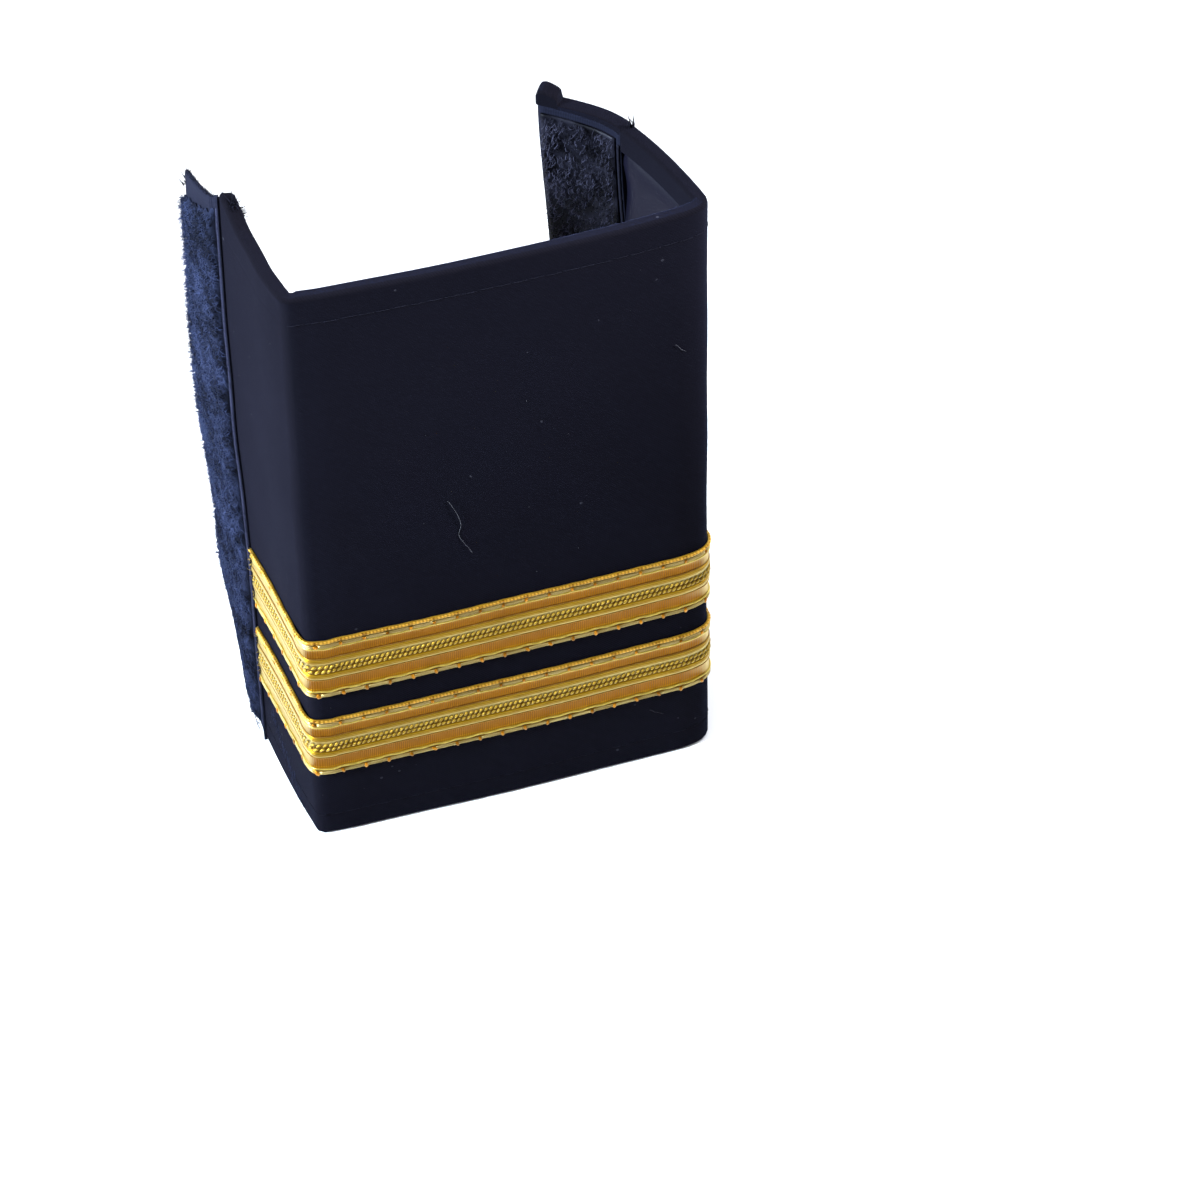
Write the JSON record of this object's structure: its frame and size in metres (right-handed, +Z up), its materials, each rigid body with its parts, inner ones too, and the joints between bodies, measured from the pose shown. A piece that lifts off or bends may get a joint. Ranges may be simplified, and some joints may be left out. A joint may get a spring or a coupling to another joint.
{
  "type": "shoulder board",
  "caption": "Slip-on cloth shoulder board, opened and standing on end: a front panel with two flaps bent back, a loop strip, a hook strip and gold rank braids.",
  "frame": {"origin": "middle of the whole outline, at the foot edge that it stands on", "axes": "+Z up the board from its foot to its top, front facing -Y, flaps reaching back along +Y, +X to the right as seen from the front"},
  "size_m": [0.0658, 0.0352, 0.1036],
  "materials": {
    "cloth_wrap": "matte navy twill",
    "inner_facing": "smooth dark navy lining cloth",
    "loop_strip": "woven tape",
    "loop_pile": "soft loop pile",
    "hook_strip": "woven tape",
    "hook_field": "stiff hooks",
    "lower_braid": "gold metallic lace",
    "upper_braid": "gold metallic lace"
  },
  "bodies": {
    "root": {"cloth_wrap": "cloth_wrap", "inner_facing": "inner_facing", "loop_strip": "loop_strip", "loop_pile": "loop_pile", "hook_strip": "hook_strip", "hook_field": "hook_field", "lower_braid": "lower_braid", "upper_braid": "upper_braid"}
  },
  "joints": []
}
